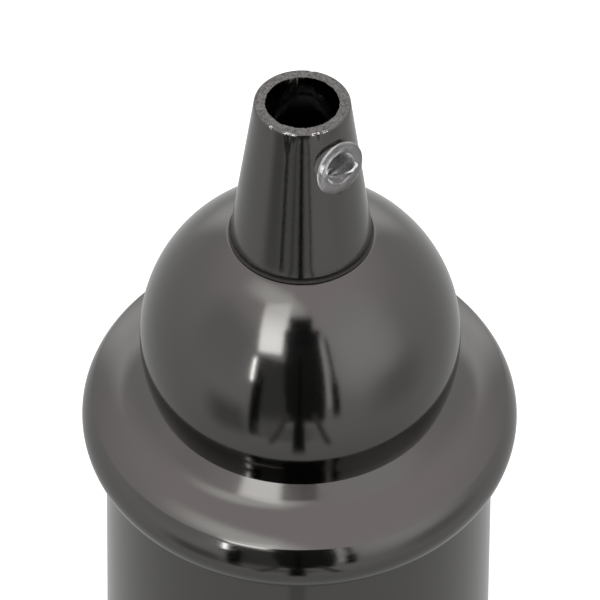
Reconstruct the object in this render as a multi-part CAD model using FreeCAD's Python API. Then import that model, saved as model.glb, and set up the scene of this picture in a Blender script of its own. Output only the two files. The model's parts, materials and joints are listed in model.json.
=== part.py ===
"""Pendant lampholder with a ball cap, a conical cord grip and a porcelain screw-lamp insert.

Frame: millimetres, +Z up, origin at the centre of the lower rim. The lamp enters from below, the cord
leaves at the top. -Y is the side of the cord grip's clamp screw.
"""
import FreeCAD, Part

import math
import os

V = FreeCAD.Vector
AXIS = V(0, 0, 1)
ORIGIN = V(0, 0, 0)

# ---- driving dimensions ------------------------------------------------------------------------------

# ball cap: a spun ball, cut off below its widest line and flattened on top
ball_radius = 19.0
ball_wall = 1.0
ball_cut = 6.42            # from the ball's centre down to its open rim
ball_land_radius = 8.45    # flat on top that the cord grip's washer lies on

# collar: a dished plate; outside the ball it slopes down, steeply and then gently, to a large rolled edge
sheet = 1.0                # wall of the collar
bead_radius = 4.84         # rolled edge, outside
bead_overhang = 3.0        # how far the rolled edge stands out past the cup's top
bead_start = 44.0          # angle above the horizontal where the slope meets the rolled edge
bead_drop = 2.1            # rolled edge's centre below the cup's top
steep_run = 2.505          # from the ball's rim out to where the two slopes would meet
seat_slope = 36.0          # slope beside the ball, below the horizontal
dish_slope = 17.0          # slope that meets the rolled edge
slope_blend = 8.0          # radius between the two slopes
collar_gap = 0.1           # from the rolled edge's lip to the cup
locating_lip = 0.8         # stands up inside the ball's rim and centres it
locating_gap = 0.14        # between them

# cup: drawn, slightly flared, open below
cup_radius = 23.35         # outside, at the top
cup_flare = 2.05           # how much wider it is at its rim
cup_wall = 1.0
cup_corner = 2.0

# cord grip: a turned cone on a thin fibre washer
grip_height = 19.8
grip_top_radius = 5.35
grip_base_radius = 8.11
grip_base_chamfer = 0.3
grip_edge = 0.25           # broken outer edge round the cord hole
cord_hole_radius = 4.075
cord_hole_length = 2.75
grip_drill_wall = 0.85     # from the cone's top edge in to the wider drilling below the cord hole
grip_thread_depth = 10.0
grip_washer_thickness = 0.3
grip_washer_setback = 0.1  # from the edge of the ball's flat

# clamp screw: clear nylon, M4, square to the cone's side
clamp_below_top = 5.27     # where its axis meets the cone's side, below the top
clamp_thread_radius = 2.0
clamp_length = 4.0
clamp_tip = 0.4            # chamfer at its end
clamp_head_radius = 3.15
clamp_head_side = 0.4
clamp_head_crown = 0.3
clamp_face_radius = 2.55
clamp_head_gap = 0.15      # head's underside above the cone's side, as screwed home
clamp_slot_width = 1.1
clamp_slot_length = 4.4
clamp_slot_depth = 0.45
clamp_slot_angle = -17.0   # from the horizontal

# M10 x 1 threaded tube and what is screwed on it
tube_radius = 4.95
tube_bore_radius = 3.8
thread_gap = 0.05          # between a male and a female thread
pass_gap = 0.2             # between the tube and a plain hole
tube_in_grip = 8.5
nut_wall = 2.0             # least wall round the nut's thread
nut_height = 3.0
washer_margin = 0.5        # past the nut's corners
washer_thickness = 0.8
washer_teeth = 16
washer_tooth_depth = 1.3

# insulating bush in the tube's lower end
bush_wall = 0.6
bush_gap = 0.03
bush_length = 6.0
bush_flange = 1.0
bush_flange_gap = 0.3

# bracket: a bent steel strap with a threaded hub
bracket_rise = 12.0        # clear height under its top
bracket_thickness = 1.5
bracket_width = 14.0
bracket_foot = 7.5
bracket_bend = 2.0         # outer radius of each bend
bracket_inset = 0.3        # its feet, from the porcelain's outside
hub_wall = 2.0
hub_length = 4.0
grub_radius = 1.5
grub_stand_out = 0.2       # past the hub's wall

# bracket screws, M3
fixing_edge = 6.0          # each screw's axis from the porcelain's outside
fixing_leg_gap = 0.75      # from its head to the bracket's leg
fixing_radius = 1.5
fixing_length = 9.0
fixing_head_radius = 2.75
fixing_head_height = 1.8
fixing_hole_gap = 0.3      # under its tip
screw_pass_gap = 0.2       # round a screw in a plain hole

# porcelain body
porcelain_roof = 3.0       # over the spring's pocket
porcelain_gap = 1.8        # to the cup's inside
mouth_depth = 8.0
shell_gap = 0.3            # from the screw shell to its pocket
floor_height = 31.0        # ceiling of the lamp's space, above the lower rim
spring_pocket_radius = 5.5
spring_pocket_depth = 7.0
porcelain_edge = 1.2
hole_gap = 0.05

# screw shell for the E27 lamp cap, sheet brass: a plain wall at the root of its rolled thread
shell_sheet = 0.4
shell_radius = 13.3        # inside
shell_setback = 0.3        # its open end above the step of the porcelain's mouth
shell_corner = 2.5         # outer radius where its wall meets its flat end
shell_end_margin = 0.5     # from each rivet head to the hole in its flat end

# insulating disc between the shell's flat end and the porcelain
disc_thickness = 1.2
disc_setback = 0.7         # inside the shell's radius

# sprung centre contact
contact_flange_radius = 5.2
contact_flange = 1.2
contact_nose_radius = 4.2
contact_nose_gap = 0.4     # to the insulating disc
contact_nose_length = 3.6
contact_dome = 1.0
spring_wire_radius = 0.3
spring_coil_radius = 3.9
spring_turns = 3.5
spring_end_gap = 0.04
seat_radius = 5.2
seat_thickness = 0.6

# strips, terminals and rivets
strip_thickness = 0.6
strip_width = 6.0
terminal_gap = 0.75        # from the bracket's side
terminal_x = 7.0
terminal_y = 6.5
terminal_z = 6.5
wire_hole_radius = 1.4
wire_hole_height = 2.4
terminal_screw_radius = 1.5
terminal_screw_length = 4.2
terminal_screw_up = 0.4    # head's underside above the terminal, as screwed home
terminal_screw_turn = 25.0
terminal_head_radius = 2.6
terminal_head_height = 1.9
slot_width = 0.7
slot_depth = 0.9
rivet_radius = 1.2
rivet_head_radius = 2.0
rivet_head = 0.8
rivet_corner_gap = 0.2     # from each head to the curve of the shell's corner
rivet_pad_margin = 0.2     # strip round each rivet head
rivet_angle = 50.0

# earth screw on the bracket's leg, M4
earth_screw_radius = 2.0
earth_screw_end = 1.6      # past the leg's inner face
earth_head_radius = 3.3
earth_head_height = 2.4
earth_washer_radius = 3.6
earth_washer_thickness = 0.8
earth_height = 7.6         # its axis above the porcelain

# ---- derived levels and sizes ------------------------------------------------------------------------

thread_radius = tube_radius + thread_gap
pass_radius = tube_radius + pass_gap
nut_across_flats = 2 * (thread_radius + nut_wall)
washer_radius = nut_across_flats / math.sqrt(3) + washer_margin
bush_bore_radius = tube_bore_radius - bush_wall

porcelain_radius = cup_radius - cup_wall - porcelain_gap
shell_pocket_radius = shell_radius + shell_sheet + shell_gap
mouth_radius = (shell_pocket_radius + porcelain_radius) / 2
mouth_edge = min(porcelain_edge, 0.45 * (porcelain_radius - mouth_radius))
fixing_spread = porcelain_radius - fixing_edge
bracket_half_span = fixing_spread - fixing_head_radius - fixing_leg_gap
rivet_circle = shell_radius + shell_sheet - shell_corner - rivet_head_radius - rivet_corner_gap
shell_disc_hole = rivet_circle - rivet_head_radius - shell_end_margin
terminal_offset = bracket_width / 2 + terminal_gap + terminal_y / 2

porcelain_top = floor_height + spring_pocket_depth + porcelain_roof
bracket_under = porcelain_top + bracket_rise
bracket_top = bracket_under + bracket_thickness
nut_top = bracket_top + nut_height
washer_top = nut_top + washer_thickness
cup_top = washer_top + cup_wall
bead_level = cup_top - bead_drop
bead_centre_radius = cup_radius + bead_overhang - bead_radius
crest = math.radians(bead_start)
crease_r = bead_centre_radius + bead_radius * math.cos(crest)
crease_z = bead_level + bead_radius * math.sin(crest)
steep, gentle = math.radians(seat_slope), math.radians(dish_slope)
ball_rim_radius = math.sqrt(ball_radius ** 2 - ball_cut ** 2)
gentle_run = crease_r - ball_rim_radius - steep_run
seat_level = crease_z + gentle_run * math.tan(gentle) + steep_run * math.tan(steep)
ball_inner_radius = ball_radius - ball_wall
ball_inner_rim = math.sqrt(ball_inner_radius ** 2 - ball_cut ** 2)
ball_centre = seat_level + ball_cut
ball_top = ball_centre + math.sqrt(ball_radius ** 2 - ball_land_radius ** 2)
grip_base = ball_top + grip_washer_thickness
grip_top = grip_base + grip_height
grip_drill_radius = grip_top_radius - grip_drill_wall
tube_top = grip_base + tube_in_grip
hub_under = bracket_under - hub_length
tube_bottom = hub_under + bush_flange
shell_disc_top = floor_height - disc_thickness
shell_disc_under = shell_disc_top - shell_sheet
pocket_ceiling = floor_height + spring_pocket_depth
terminal_base = porcelain_top + strip_thickness
terminal_top = terminal_base + terminal_z

cone_base_z = grip_base + grip_base_chamfer
cone_lean = math.atan2(grip_base_radius - grip_top_radius, grip_top - cone_base_z)
clamp_z = grip_top - clamp_below_top
clamp_y = grip_top_radius + clamp_below_top * math.tan(cone_lean)
clamp_axis = V(0, -math.cos(cone_lean), math.sin(cone_lean))
clamp_point = V(0, -clamp_y, clamp_z)


# ---- shape helpers -----------------------------------------------------------------------------------

class Outline:
    """A closed outline in the r, z plane, drawn edge by edge and turned about the Z axis."""

    def __init__(self, r, z):
        self.start = self.here = V(r, 0, z)
        self.edges = []

    def line(self, r, z):
        end = V(r, 0, z)
        self.edges.append(Part.makeLine(self.here, end))
        self.here = end
        return self

    def arc(self, centre_r, centre_z, radius, end_angle, start_angle):
        """Arc about a centre, angles in degrees from the +r direction, starting where the outline is."""
        def at(angle):
            a = math.radians(angle)
            return V(centre_r + radius * math.cos(a), 0, centre_z + radius * math.sin(a))
        middle, end = at((start_angle + end_angle) / 2), at(end_angle)
        self.edges.append(Part.Arc(self.here, middle, end).toShape())
        self.here = end
        return self

    def turn(self):
        if (self.here - self.start).Length > 1e-7:
            self.line(self.start.x, self.start.z)
        face = Part.Face(Part.Wire(self.edges))
        solid = face.revolve(ORIGIN, AXIS, 360)
        return solid if solid.Volume > 0 else solid.reversed()


def disc(radius, low, high, x=0.0, y=0.0):
    return Part.makeCylinder(radius, high - low, V(x, y, low))


def ring(outer, inner, low, high):
    return disc(outer, low, high).cut(disc(inner, low - 1, high + 1))


def block(x0, x1, y0, y1, z0, z1):
    return Part.makeBox(x1 - x0, y1 - y0, z1 - z0, V(x0, y0, z0))


def hexagon(across_flats, low, high):
    corner = across_flats / math.sqrt(3)
    points = [V(corner * math.cos(math.radians(a)), corner * math.sin(math.radians(a)), low)
              for a in range(0, 361, 60)]
    return Part.Face(Part.makePolygon(points)).extrude(V(0, 0, high - low))


def slotted_screw(shank_radius, shank_length, head_radius, head_height, head_slot, head_slot_depth):
    """Screw standing on z = 0 with its head upwards and its shank down."""
    shank = disc(shank_radius, -shank_length, 0)
    head = disc(head_radius, 0, head_height)
    slot = block(-head_slot / 2, head_slot / 2, -head_radius - 1, head_radius + 1,
                 head_height - head_slot_depth, head_height + 1)
    return head.fuse(shank).removeSplitter().cut(slot)


def rivet(x, y, low, high, low_head=True):
    """Rivet whose upper head stands on the level high and whose lower head hangs from the level low."""
    body = disc(rivet_radius, low, high, x, y)
    body = body.fuse(disc(rivet_head_radius, high, high + rivet_head, x, y))
    if low_head:
        body = body.fuse(disc(rivet_head_radius, low - rivet_head, low, x, y))
    return body.removeSplitter()


def rivet_places():
    """The two rivets that hold the screw shell."""
    a = math.radians(rivet_angle)
    x, y = rivet_circle * math.cos(a), rivet_circle * math.sin(a)
    return [(x, y), (-x, -y)]


def along(shape, point, direction, spin=0.0):
    """Moves a shape built on +Z so that its origin lies at point and its +Z along direction."""
    turned = shape.copy()
    turned.rotate(ORIGIN, AXIS, spin)
    turned.Placement = FreeCAD.Placement(point, FreeCAD.Rotation(AXIS, direction)).multiply(turned.Placement)
    return turned


# ---- housing -----------------------------------------------------------------------------------------

def make_cord_grip():
    outer = (Outline(0, grip_base)
             .line(grip_base_radius - grip_base_chamfer, grip_base)
             .line(grip_base_radius, cone_base_z)
             .line(grip_top_radius + grip_edge * math.tan(cone_lean), grip_top - grip_edge)
             .line(grip_top_radius - grip_edge, grip_top)
             .line(0, grip_top)
             .turn())
    bore_step = grip_top - cord_hole_length
    body = outer.cut(disc(thread_radius, grip_base - 1, grip_base + grip_thread_depth))
    body = body.cut(disc(grip_drill_radius, grip_base, bore_step))
    body = body.cut(disc(cord_hole_radius, bore_step - 1, grip_top + 1))
    clamp_hole = Part.makeCylinder(clamp_thread_radius + thread_gap, 2 * clamp_y,
                                   clamp_point - clamp_axis * clamp_y, clamp_axis)
    return body.cut(clamp_hole)


def make_grip_washer():
    return ring(ball_land_radius - grip_washer_setback, pass_radius, ball_top, grip_base)


def make_clamp_screw():
    head_low = clamp_head_gap
    side_top = head_low + clamp_head_side
    face = side_top + clamp_head_crown
    shape = (Outline(0, head_low - clamp_length)
             .line(clamp_thread_radius - clamp_tip, head_low - clamp_length)
             .line(clamp_thread_radius, head_low - clamp_length + clamp_tip)
             .line(clamp_thread_radius, head_low)
             .line(clamp_head_radius, head_low)
             .line(clamp_head_radius, side_top)
             .line(clamp_face_radius, face)
             .line(0, face)
             .turn())
    half = (clamp_slot_length - clamp_slot_width) / 2
    slot = block(-half, half, -clamp_slot_width / 2, clamp_slot_width / 2,
                 face - clamp_slot_depth, face + 1)
    for end in (-half, half):
        slot = slot.fuse(disc(clamp_slot_width / 2, face - clamp_slot_depth, face + 1, end, 0))
    return along(shape.cut(slot), clamp_point, clamp_axis, clamp_slot_angle)


def make_ball_cap():
    ball = Part.makeSphere(ball_radius, V(0, 0, ball_centre))
    hollow = Part.makeSphere(ball_inner_radius, V(0, 0, ball_centre))
    reach = 2 * ball_radius
    hollow = hollow.common(block(-reach, reach, -reach, reach, ball_centre - reach, ball_top - ball_wall))
    kept = block(-reach, reach, -reach, reach, seat_level, ball_top)
    return ball.cut(hollow).common(kept).cut(disc(pass_radius, ball_centre, ball_top + 1))


def make_collar():
    """Plate, dish wall, ball seat, two slopes and rolled edge, all one wall thick."""
    cup_fit = cup_radius + (cup_top - bead_level + bead_radius) * cup_flare / cup_top + collar_gap
    inner_radius = bead_radius - sheet
    lip_outside = math.degrees(math.acos((cup_fit - bead_centre_radius) / bead_radius))
    lip_inside = math.degrees(math.acos((cup_fit - bead_centre_radius) / inner_radius))
    # the blend's centre lies one blend radius above both slopes
    seat_r = ball_rim_radius + slope_blend * math.sin(steep)
    seat_z = seat_level + slope_blend * math.cos(steep)
    edge_r = crease_r + slope_blend * math.sin(gentle)
    edge_z = crease_z + slope_blend * math.cos(gentle)
    run = ((seat_z - edge_z) - (edge_r - seat_r) * math.tan(gentle)) / (math.tan(steep) - math.tan(gentle))
    blend_r, blend_z = seat_r + run, seat_z - run * math.tan(steep)

    def on_blend(radius, slope):
        return blend_r - radius * math.sin(slope), blend_z - radius * math.cos(slope)

    # the gentle slope's underside meets the rolled edge's inner side
    under_r, under_z = on_blend(slope_blend + sheet, gentle)
    dx, dz = math.cos(gentle), -math.sin(gentle)
    px, pz = under_r - bead_centre_radius, under_z - bead_level
    b = px * dx + pz * dz
    reach = -b + math.sqrt(b * b - (px * px + pz * pz - inner_radius ** 2))
    meet_r, meet_z = under_r + reach * dx, under_z + reach * dz
    meet_angle = math.degrees(math.atan2(meet_z - bead_level, meet_r - bead_centre_radius))
    plate_top = cup_top + sheet
    lip_radius = ball_inner_rim - locating_gap
    lip_inner = lip_radius - sheet
    wall_out_z = seat_level - sheet
    wall_out_r = ball_rim_radius - sheet * math.tan(steep / 2)
    return (Outline(pass_radius, cup_top)
            .line(lip_radius, cup_top)
            .line(lip_radius, wall_out_z)
            .line(wall_out_r, wall_out_z)
            .line(*on_blend(slope_blend + sheet, steep))
            .arc(blend_r, blend_z, slope_blend + sheet, 270 - dish_slope, 270 - seat_slope)
            .line(meet_r, meet_z)
            .arc(bead_centre_radius, bead_level, inner_radius, -lip_inside, meet_angle)
            .line(cup_fit, bead_level - bead_radius * math.sin(math.radians(lip_outside)))
            .arc(bead_centre_radius, bead_level, bead_radius, bead_start, -lip_outside)
            .line(*on_blend(slope_blend, gentle))
            .arc(blend_r, blend_z, slope_blend, 270 - seat_slope, 270 - dish_slope)
            .line(ball_rim_radius, seat_level)
            .line(lip_radius, seat_level)
            .line(lip_radius, seat_level + locating_lip)
            .line(lip_inner, seat_level + locating_lip)
            .line(lip_inner, plate_top)
            .line(pass_radius, plate_top)
            .turn())


def make_cup():
    """Flared wall, rounded into a flat top with a hole for the tube."""
    lean = math.atan2(cup_flare, cup_top)
    tip = math.degrees(lean)
    corner_z = cup_top - cup_corner
    # the corner's centre stands so that its arc meets the leaning wall
    corner_r = cup_radius + cup_corner * math.tan(lean) - cup_corner / math.cos(lean)
    inner_corner = cup_corner - cup_wall
    wall_r = cup_wall / math.cos(lean)
    rim_r = cup_radius + cup_flare
    return (Outline(rim_r - wall_r, 0)
            .line(rim_r, 0)
            .line(corner_r + cup_corner * math.cos(lean), corner_z + cup_corner * math.sin(lean))
            .arc(corner_r, corner_z, cup_corner, 90, tip)
            .line(pass_radius, cup_top)
            .line(pass_radius, washer_top)
            .line(corner_r, washer_top)
            .arc(corner_r, corner_z, inner_corner, tip, 90)
            .turn())


# ---- tube and what is screwed on it ------------------------------------------------------------------

def make_threaded_tube():
    return ring(tube_radius, tube_bore_radius, tube_bottom, tube_top)


def make_star_washer():
    washer = ring(washer_radius, pass_radius, nut_top, washer_top)
    gap = math.pi * washer_radius / washer_teeth
    for n in range(washer_teeth):
        notch = block(washer_radius - washer_tooth_depth, washer_radius + 1, -gap / 2, gap / 2,
                      nut_top - 1, washer_top + 1)
        notch.rotate(ORIGIN, AXIS, n * 360 / washer_teeth)
        washer = washer.cut(notch)
    return washer


def make_tube_nut():
    nut = hexagon(nut_across_flats, bracket_top, nut_top)
    return nut.cut(disc(thread_radius, bracket_top - 1, nut_top + 1))


def make_tube_bush():
    sleeve = ring(tube_bore_radius - bush_gap, bush_bore_radius, tube_bottom, tube_bottom + bush_length)
    flange = ring(thread_radius - bush_flange_gap, bush_bore_radius, hub_under, tube_bottom)
    return sleeve.fuse(flange).removeSplitter()


# ---- bracket -----------------------------------------------------------------------------------------

def bend(x, z, quarter):
    """Quarter-round strip of the strap about a bend's centre line; quarter is its first angle."""
    outer = Part.makeCylinder(bracket_bend, bracket_width, V(x, -bracket_width / 2, z), V(0, 1, 0))
    inner = Part.makeCylinder(bracket_bend - bracket_thickness, bracket_width + 2,
                              V(x, -bracket_width / 2 - 1, z), V(0, 1, 0))
    sx = 1 if quarter in ("top_right", "bottom_right") else -1
    sz = 1 if quarter in ("top_right", "top_left") else -1
    box = block(min(x, x + sx * bracket_bend), max(x, x + sx * bracket_bend),
                -bracket_width / 2, bracket_width / 2,
                min(z, z + sz * bracket_bend), max(z, z + sz * bracket_bend))
    return outer.cut(inner).common(box)


def make_bracket():
    half_width = bracket_width / 2
    span, thick, bend_r = bracket_half_span, bracket_thickness, bracket_bend
    foot_top = porcelain_top + thick
    strap = block(-span + bend_r, span - bend_r, -half_width, half_width, bracket_under, bracket_top)
    for side in (-1, 1):
        outer, inner = side * span, side * (span - thick)
        leg = block(min(outer, inner), max(outer, inner), -half_width, half_width,
                    porcelain_top + bend_r, bracket_top - bend_r)
        foot_start = side * (span - thick + bend_r)
        foot_end = side * (span - thick + bracket_foot + thick)
        foot = block(min(foot_start, foot_end), max(foot_start, foot_end), -half_width, half_width,
                     porcelain_top, foot_top)
        top = bend(side * (span - bend_r), bracket_top - bend_r, "top_right" if side > 0 else "top_left")
        low = bend(foot_start, porcelain_top + bend_r, "bottom_left" if side > 0 else "bottom_right")
        for piece in (leg, foot, top, low):
            strap = strap.fuse(piece)
    strap = strap.fuse(disc(thread_radius + hub_wall, hub_under, bracket_under))
    strap = strap.cut(disc(thread_radius, hub_under - 1, bracket_top + 1))
    for side in (-1, 1):
        strap = strap.cut(disc(fixing_radius + screw_pass_gap, porcelain_top - 1, foot_top + 1,
                               side * fixing_spread, 0))
    strap = strap.cut(grub(thread_gap))
    earth_hole = Part.makeCylinder(earth_screw_radius + thread_gap, 4 * thick,
                                   V(span - 3 * thick, 0, porcelain_top + earth_height), V(1, 0, 0))
    rounding = disc(porcelain_radius - bracket_inset, porcelain_top, bracket_top)
    return strap.removeSplitter().cut(earth_hole).common(rounding)


def grub(gap):
    """Set screw through the hub's wall, from the tube outwards along +Y."""
    start = V(0, thread_radius, hub_under + hub_length / 2)
    return Part.makeCylinder(grub_radius + gap, hub_wall + grub_stand_out, start, V(0, 1, 0))


def make_bracket_grub_screw():
    level = hub_under + hub_length / 2
    end = thread_radius + hub_wall + grub_stand_out
    slot = block(-grub_radius, grub_radius, end - slot_depth, end + 1, level - slot_width / 2,
                 level + slot_width / 2)
    return grub(0).cut(slot)


def make_bracket_screws():
    screw = slotted_screw(fixing_radius, fixing_length, fixing_head_radius, fixing_head_height,
                          slot_width, slot_depth)
    level = porcelain_top + bracket_thickness
    return Part.Compound([along(screw, V(side * fixing_spread, 0, level), AXIS) for side in (-1, 1)])


def make_earth_screw():
    shank = earth_washer_thickness + bracket_thickness + earth_screw_end
    screw = slotted_screw(earth_screw_radius, shank, earth_head_radius, earth_head_height,
                          slot_width, slot_depth)
    point = V(bracket_half_span + earth_washer_thickness, 0, porcelain_top + earth_height)
    return along(screw, point, V(1, 0, 0))


def make_earth_washer():
    washer = ring(earth_washer_radius, earth_screw_radius + screw_pass_gap, 0, earth_washer_thickness)
    return along(washer, V(bracket_half_span, 0, porcelain_top + earth_height), V(1, 0, 0))


# ---- lamp insert -------------------------------------------------------------------------------------

def make_porcelain_body():
    edge = mouth_edge
    body = (Outline(0, porcelain_top)
            .line(0, pocket_ceiling)
            .line(spring_pocket_radius, pocket_ceiling)
            .line(spring_pocket_radius, floor_height)
            .line(shell_pocket_radius, floor_height)
            .line(shell_pocket_radius, mouth_depth)
            .line(mouth_radius, mouth_depth)
            .line(mouth_radius, edge)
            .arc(mouth_radius + edge, edge, edge, 270, 180)
            .line(porcelain_radius - edge, 0)
            .arc(porcelain_radius - edge, edge, edge, 0, -90)
            .line(porcelain_radius, porcelain_top - edge)
            .arc(porcelain_radius - edge, porcelain_top - edge, edge, 90, 0)
            .turn())
    for side in (-1, 1):
        depth = fixing_length - bracket_thickness + fixing_hole_gap
        body = body.cut(disc(fixing_radius + hole_gap, porcelain_top - depth, porcelain_top + 1,
                             side * fixing_spread, 0))
    for x, y in rivet_places():
        body = body.cut(disc(rivet_radius + hole_gap, floor_height - 1, porcelain_top + 1, x, y))
    return body.cut(disc(rivet_radius + hole_gap, pocket_ceiling - 1, porcelain_top + 1))


def make_screw_shell():
    """Plain wall, open below, with a flat end that two rivets hold."""
    low = mouth_depth + shell_setback
    outer = shell_radius + shell_sheet
    corner_r, corner_z = outer - shell_corner, shell_disc_top - shell_corner
    shell = (Outline(shell_radius, low)
             .line(outer, low)
             .line(outer, corner_z)
             .arc(corner_r, corner_z, shell_corner, 90, 0)
             .line(shell_disc_hole, shell_disc_top)
             .line(shell_disc_hole, shell_disc_under)
             .line(corner_r, shell_disc_under)
             .arc(corner_r, corner_z, shell_corner - shell_sheet, 0, 90)
             .turn())
    for x, y in rivet_places():
        shell = shell.cut(disc(rivet_radius + hole_gap, shell_disc_under - 1, shell_disc_top + 1, x, y))
    return shell


def make_insulating_disc():
    hole = contact_nose_radius + contact_nose_gap
    plate = ring(shell_radius - disc_setback, hole, shell_disc_top, floor_height)
    for x, y in rivet_places():
        plate = plate.cut(disc(rivet_radius + hole_gap, shell_disc_top - 1, floor_height + 1, x, y))
    return plate


def make_centre_contact():
    tip = floor_height - contact_nose_length
    dome_radius = (contact_nose_radius ** 2 + contact_dome ** 2) / (2 * contact_dome)
    spread = math.degrees(math.asin(contact_nose_radius / dome_radius))
    return (Outline(0, tip)
            .arc(0, tip + dome_radius, dome_radius, -90 + spread, -90)
            .line(contact_nose_radius, floor_height)
            .line(contact_flange_radius, floor_height)
            .line(contact_flange_radius, floor_height + contact_flange)
            .line(0, floor_height + contact_flange)
            .turn())


def make_contact_spring():
    room = spring_wire_radius + spring_end_gap
    low = floor_height + contact_flange + room
    high = pocket_ceiling - seat_thickness - room
    pitch = (high - low) / spring_turns
    helix = Part.makeHelix(pitch, high - low, spring_coil_radius)
    way = V(0, 1, pitch / (2 * math.pi * spring_coil_radius))
    section = Part.Wire(Part.makeCircle(spring_wire_radius, V(spring_coil_radius, 0, 0), way))
    spring = Part.Wire(helix).makePipeShell([section], True, True)
    spring.translate(V(0, 0, low))
    return spring


def make_spring_seat():
    return ring(seat_radius, rivet_radius + hole_gap, pocket_ceiling - seat_thickness, pocket_ceiling)


def make_centre_rivet():
    return rivet(0, 0, pocket_ceiling - seat_thickness, terminal_base)


def make_shell_rivets():
    (x1, y1), (x2, y2) = rivet_places()
    return Part.Compound([rivet(x1, y1, shell_disc_under, terminal_base),
                          rivet(x2, y2, shell_disc_under, porcelain_top)])


# ---- terminals ---------------------------------------------------------------------------------------

def make_live_strip():
    end = terminal_offset + terminal_y / 2
    strip = block(-strip_width / 2, strip_width / 2, -end, 0, porcelain_top, terminal_base)
    strip = strip.fuse(disc(strip_width / 2, porcelain_top, terminal_base)).removeSplitter()
    return strip.cut(disc(rivet_radius + hole_gap, porcelain_top - 1, terminal_base + 1))


def make_neutral_strip():
    x, y = rivet_places()[0]
    end = terminal_offset + terminal_y / 2
    pad = rivet_head_radius + rivet_pad_margin
    plate = block(-strip_width / 2, strip_width / 2, y - pad, end, porcelain_top, terminal_base)
    plate = plate.fuse(block(0, x, y - pad, y + pad, porcelain_top, terminal_base))
    plate = plate.fuse(disc(pad, porcelain_top, terminal_base, x, y)).removeSplitter()
    return plate.cut(disc(rivet_radius + hole_gap, porcelain_top - 1, terminal_base + 1, x, y))


def make_terminal(side):
    y = side * terminal_offset
    body = block(-terminal_x / 2, terminal_x / 2, y - terminal_y / 2, y + terminal_y / 2,
                 terminal_base, terminal_top)
    wire = Part.makeCylinder(wire_hole_radius, terminal_y + 2,
                             V(0, y - terminal_y / 2 - 1, terminal_base + wire_hole_height), V(0, 1, 0))
    return body.cut(wire).cut(disc(terminal_screw_radius + thread_gap, terminal_base + wire_hole_height,
                                   terminal_top + 1, 0, y))


def make_terminal_screw(side):
    screw = slotted_screw(terminal_screw_radius, terminal_screw_length, terminal_head_radius,
                          terminal_head_height, slot_width, slot_depth)
    point = V(0, side * terminal_offset, terminal_top + terminal_screw_up)
    return along(screw, point, AXIS, terminal_screw_turn)


# ---- every node --------------------------------------------------------------------------------------

NODES = {
    "cord_grip": make_cord_grip,
    "grip_washer": make_grip_washer,
    "clamp_screw": make_clamp_screw,
    "ball_cap": make_ball_cap,
    "collar": make_collar,
    "cup": make_cup,
    "threaded_tube": make_threaded_tube,
    "star_washer": make_star_washer,
    "tube_nut": make_tube_nut,
    "tube_bush": make_tube_bush,
    "bracket": make_bracket,
    "bracket_grub_screw": make_bracket_grub_screw,
    "bracket_screws": make_bracket_screws,
    "porcelain_body": make_porcelain_body,
    "screw_shell": make_screw_shell,
    "insulating_disc": make_insulating_disc,
    "centre_contact": make_centre_contact,
    "contact_spring": make_contact_spring,
    "spring_seat": make_spring_seat,
    "centre_rivet": make_centre_rivet,
    "shell_rivets": make_shell_rivets,
    "live_strip": make_live_strip,
    "neutral_strip": make_neutral_strip,
    "live_terminal": lambda: make_terminal(-1),
    "neutral_terminal": lambda: make_terminal(1),
    "live_terminal_screw": lambda: make_terminal_screw(-1),
    "neutral_terminal_screw": lambda: make_terminal_screw(1),
    "earth_screw": make_earth_screw,
    "earth_washer": make_earth_washer,
}

os.makedirs("parts", exist_ok=True)
for name, make in NODES.items():
    shape = make()
    if not shape.isValid() or shape.Volume <= 0 or not shape.Solids:
        raise SystemExit(f"{name} is not a sound solid")
    shape.exportStep(f"parts/{name}.step")
    print(f"{name}: {len(shape.Solids)} solid, {shape.Volume:.1f} mm3")
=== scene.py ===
import json
import math

import bmesh
import bpy
from mathutils import Matrix, Vector, noise


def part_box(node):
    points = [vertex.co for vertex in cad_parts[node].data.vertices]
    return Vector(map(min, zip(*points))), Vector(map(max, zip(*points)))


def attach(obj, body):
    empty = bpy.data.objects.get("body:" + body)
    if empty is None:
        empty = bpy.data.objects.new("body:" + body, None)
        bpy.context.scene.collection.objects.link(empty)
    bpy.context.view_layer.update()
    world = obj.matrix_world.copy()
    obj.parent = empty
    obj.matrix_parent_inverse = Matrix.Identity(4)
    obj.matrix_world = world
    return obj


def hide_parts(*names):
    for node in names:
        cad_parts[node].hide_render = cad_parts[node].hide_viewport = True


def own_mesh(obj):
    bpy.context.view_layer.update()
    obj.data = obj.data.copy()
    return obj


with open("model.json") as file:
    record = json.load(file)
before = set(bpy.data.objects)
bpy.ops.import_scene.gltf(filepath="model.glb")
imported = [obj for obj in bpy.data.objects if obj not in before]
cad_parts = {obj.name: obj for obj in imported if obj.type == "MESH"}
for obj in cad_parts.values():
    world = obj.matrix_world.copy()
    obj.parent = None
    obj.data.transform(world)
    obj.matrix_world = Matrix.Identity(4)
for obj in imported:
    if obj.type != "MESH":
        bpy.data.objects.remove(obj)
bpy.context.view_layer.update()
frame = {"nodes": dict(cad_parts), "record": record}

mm = 0.001
up = Vector((0, 0, 1))
cameraBearing = math.radians(-40.5)  # from -Y, the clamp screw's side, towards +X
bodyOf = {node: body for body, nodes in frame["record"]["behaviour"]["bodies"].items() for node in nodes}


def inMm(node):
    # lowest and highest corner of a CAD node, in millimetres
    low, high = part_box(node)
    return low / mm, high / mm


def arc(centreR, centreZ, radius, start, end, steps):
    # points along an arc in the r, z plane, angles in degrees from the outward direction
    angles = [math.radians(start + (end - start) * n / steps) for n in range(steps + 1)]
    return [(centreR + radius * math.cos(a), centreZ + radius * math.sin(a)) for a in angles]


def straight(radius, low, high, step=0.12):
    # a wall with levels close enough together to take a thread
    count = max(1, round(abs(high - low) / step))
    return [(radius, low + (high - low) * n / count) for n in range(count + 1)]


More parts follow.
